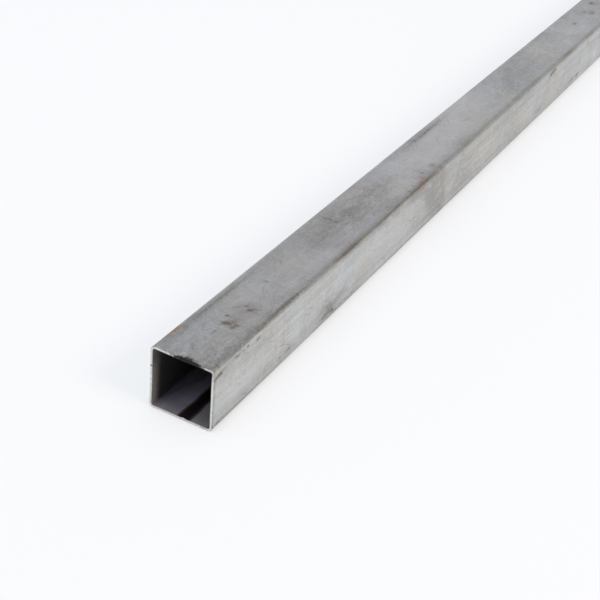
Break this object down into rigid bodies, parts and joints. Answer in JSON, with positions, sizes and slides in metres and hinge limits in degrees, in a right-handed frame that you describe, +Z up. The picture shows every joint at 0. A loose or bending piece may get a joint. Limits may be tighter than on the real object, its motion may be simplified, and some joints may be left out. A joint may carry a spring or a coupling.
{
  "type": "square steel tube",
  "caption": "Straight thin-walled square steel tube with small rounded corners, an inside weld seam along one wall and square-sawn ends.",
  "frame": {"origin": "middle of the underside: centred across the width and along the length, on the plane the tube lies on", "axes": "+Y along the tube from the near sawn end to the far one, +Z up from the welded wall it lies on, +X across it"},
  "size_m": [0.04, 1, 0.04],
  "materials": {
    "steel": "dull grey mill finish with fine scratches, a few rust spots and an uncoated weld seam inside"
  },
  "bodies": {
    "root": {"square_tube": "steel"}
  },
  "joints": []
}
